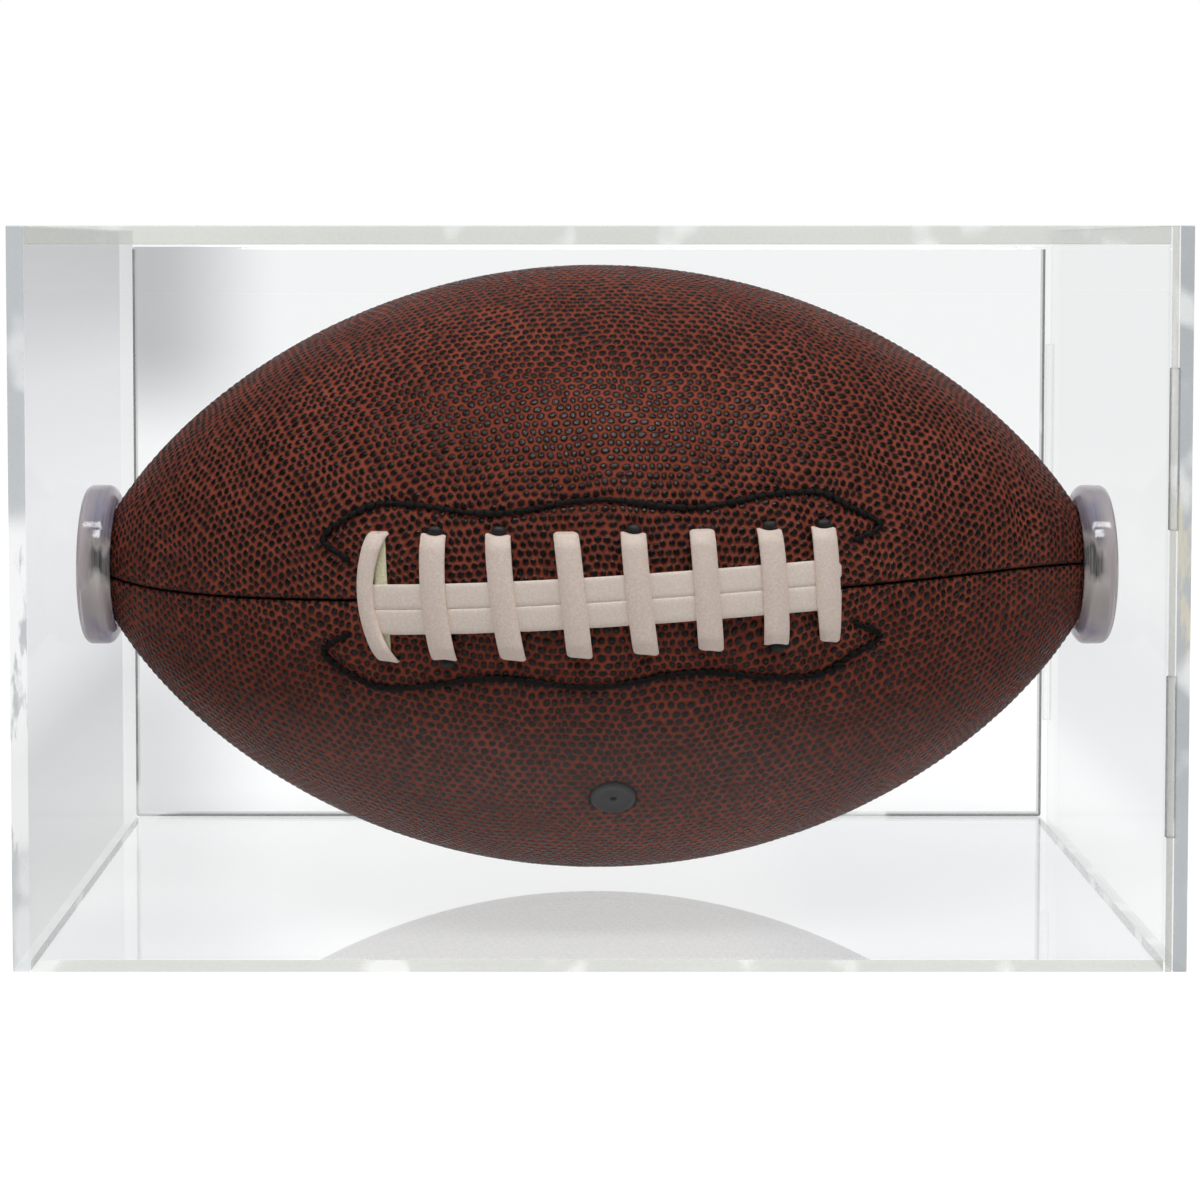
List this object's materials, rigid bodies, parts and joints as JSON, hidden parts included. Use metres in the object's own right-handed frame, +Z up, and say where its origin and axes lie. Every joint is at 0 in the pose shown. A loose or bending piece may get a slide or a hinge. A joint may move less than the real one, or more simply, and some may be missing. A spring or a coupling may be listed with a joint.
{
  "type": "football display case",
  "caption": "Clear acrylic box with a removable end plate and a round cup at each end that holds a football by its tips.",
  "frame": {"origin": "centre of the base, on the surface the case stands on", "axes": "+X along the case towards the removable end plate, +Y from the front to the back, +Z up"},
  "size_m": [0.297, 0.1886, 0.1885],
  "materials": {
    "clear_sheet": "clear cast acrylic sheet, polished",
    "clear_cup": "clear turned acrylic, lathe-brushed",
    "pebbled_leather": "pebbled, low sheen, dark pebbles on a red-brown ground",
    "lace": "matt cream with a fine grain",
    "black_thread": "matt black thread",
    "bladder_rubber": "matt black",
    "valve_rubber": "matt dark grey"
  },
  "bodies": {
    "case": {"left_end_panel": "clear_sheet", "front_panel": "clear_sheet", "back_panel": "clear_sheet", "top_panel": "clear_sheet", "bottom_panel": "clear_sheet", "right_rim": "clear_sheet", "left_cup": "clear_cup"},
    "end_cap": {"end_plate": "clear_sheet", "tab_front_upper": "clear_sheet", "tab_front_lower": "clear_sheet", "tab_back_upper": "clear_sheet", "tab_back_lower": "clear_sheet", "right_cup": "clear_cup"},
    "football": {"leather_front_upper": "pebbled_leather", "leather_front_lower": "pebbled_leather", "leather_back_upper": "pebbled_leather", "leather_back_lower": "pebbled_leather", "bladder": "bladder_rubber", "valve": "valve_rubber", "lace_strip_upper": "lace", "lace_strip_lower": "lace", "crossbar_1": "lace", "crossbar_2": "lace", "crossbar_3": "lace", "crossbar_4": "lace", "crossbar_5": "lace", "crossbar_6": "lace", "crossbar_7": "lace", "crossbar_8": "lace", "stitch_upper": "black_thread", "stitch_lower": "black_thread"}
  },
  "joints": [
    {"name": "end_cap_slide", "type": "slide", "parent": "case", "child": "end_cap", "axis": [1, 0, 0], "range_m": [0, 0.3]},
    {"name": "football_turn", "type": "hinge", "parent": "end_cap", "child": "football", "pos_m": [0.0004, 0, 0.0934], "axis": [1, 0, 0], "continuous": true}
  ]
}
